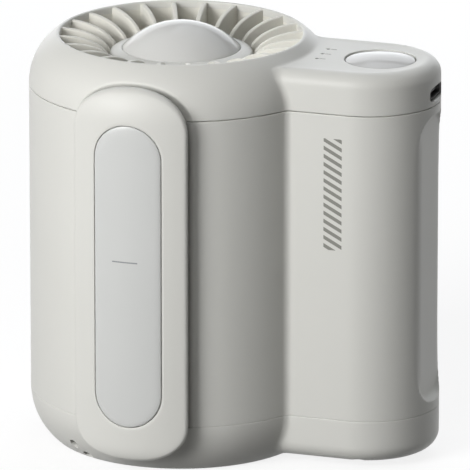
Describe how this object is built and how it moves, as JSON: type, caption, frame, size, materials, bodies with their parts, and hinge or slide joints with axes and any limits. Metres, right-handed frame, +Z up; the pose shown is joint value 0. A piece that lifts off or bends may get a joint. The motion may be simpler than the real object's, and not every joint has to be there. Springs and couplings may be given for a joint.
{
  "type": "clip-on fan",
  "caption": "Belt-clip fan: round body with base intake and vaned top outlet, side battery column with button, lamps and charging socket, sprung clip.",
  "frame": {"origin": "middle of the footprint's bounding box, on the plane that the round body stands on", "axes": "+Z up along the fan shaft's direction, +X from the round body towards the battery column, -Y towards the belt clip; the shaft is at x -0.01606405, y 0.0022"},
  "size_m": [0.1164, 0.0886, 0.1183],
  "materials": {
    "shell": "fine satin",
    "vanes": "satin",
    "button": "polished",
    "cap": "satin gloss",
    "inlay": "satin film",
    "inner": "as moulded",
    "dark": "as moulded",
    "clear": "clear",
    "lamp": "moulded",
    "steel": "plated",
    "brass": "turned",
    "copper": "enamelled winding",
    "magnet": "sintered",
    "board": "solder mask",
    "wrap": "shrink film",
    "red": "insulation"
  },
  "bodies": {
    "casing": {"top_cover": "shell", "main_housing": "shell", "bottom_cover": "shell", "air_duct": "inner", "intake_grille": "inner", "outlet_vanes": "vanes", "hub_cap": "cap", "bearing_tube": "brass", "bearing_upper": "steel", "bearing_lower": "steel", "motor_stator": "copper", "motor_board": "board", "motor_lead": "dark", "battery_cell_1": "wrap", "battery_cell_2": "wrap", "battery_tray": "dark", "battery_cap": "dark", "cell_link_lower": "steel", "cell_link_upper": "steel", "battery_lead_red": "red", "battery_lead_black": "dark", "control_board": "board", "usb_socket": "steel", "tact_switch": "dark", "light_guide": "clear", "indicator_led_1": "lamp", "indicator_led_2": "lamp", "indicator_led_3": "lamp", "clip_pin": "steel", "clip_spring": "steel", "cover_screw_1": "steel", "cover_screw_2": "steel", "cover_screw_3": "steel", "board_screw_1": "steel", "board_screw_2": "steel"},
    "rotor": {"impeller": "inner", "rotor_bell": "steel", "magnet_ring": "magnet", "motor_shaft": "steel"},
    "button": {"power_button": "button", "switch_plunger": "dark"},
    "clip": {"clip_lever": "shell", "clip_inlay": "inlay"}
  },
  "joints": [
    {"name": "fan_spin", "type": "hinge", "parent": "casing", "child": "rotor", "pos_m": [-0.01606, 0.0022, 0.075], "axis": [0, 0, 1], "continuous": true},
    {"name": "button_press", "type": "slide", "parent": "casing", "child": "button", "axis": [0, 0, -1], "range_m": [0, 0.0005], "stiffness_N_per_m": 2000, "springref_m": -0.0002},
    {"name": "clip_open", "type": "hinge", "parent": "casing", "child": "clip", "pos_m": [-0.01606, -0.0377, 0.096], "axis": [-1, 0, 0], "range_deg": [0, 8], "stiffness_Nm_per_rad": 1, "springref_deg": -5.73, "deforming": ["clip_spring"]}
  ]
}
